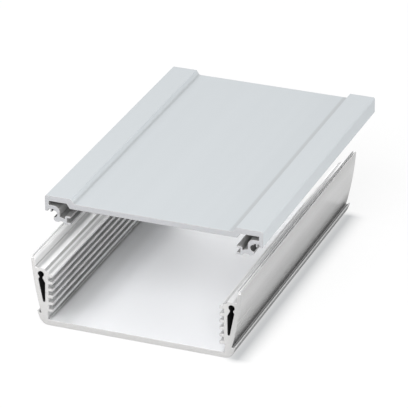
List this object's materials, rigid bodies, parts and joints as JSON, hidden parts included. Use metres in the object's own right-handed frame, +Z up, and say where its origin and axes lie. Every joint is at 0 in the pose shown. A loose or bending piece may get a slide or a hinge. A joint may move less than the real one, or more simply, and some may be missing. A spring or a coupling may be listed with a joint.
{
  "type": "extruded aluminium enclosure",
  "caption": "Two-piece extruded aluminium enclosure: ribbed tray for circuit boards and screw ports along its walls, with its flat lid lifted off and set back.",
  "frame": {"origin": "middle of the tray's flat underside, half way along its length", "axes": "+Z up, +Y along the extrusion towards the end away from the viewer of the picture, +X across the tray to its right wall"},
  "size_m": [0.1006, 0.1703, 0.0517],
  "materials": {
    "base_profile": "satin anodised, drawn along the extrusion, with sawn ends",
    "lid_profile": "fine matte anodised, with sawn ends"
  },
  "bodies": {
    "base": {"base_profile": "base_profile"},
    "lid": {"lid_profile": "lid_profile"}
  },
  "joints": [
    {"name": "lid_closing", "type": "slide", "parent": "base", "child": "lid", "axis": [0, -0.8478, -0.5304], "range_m": [0, 0.02395]}
  ]
}
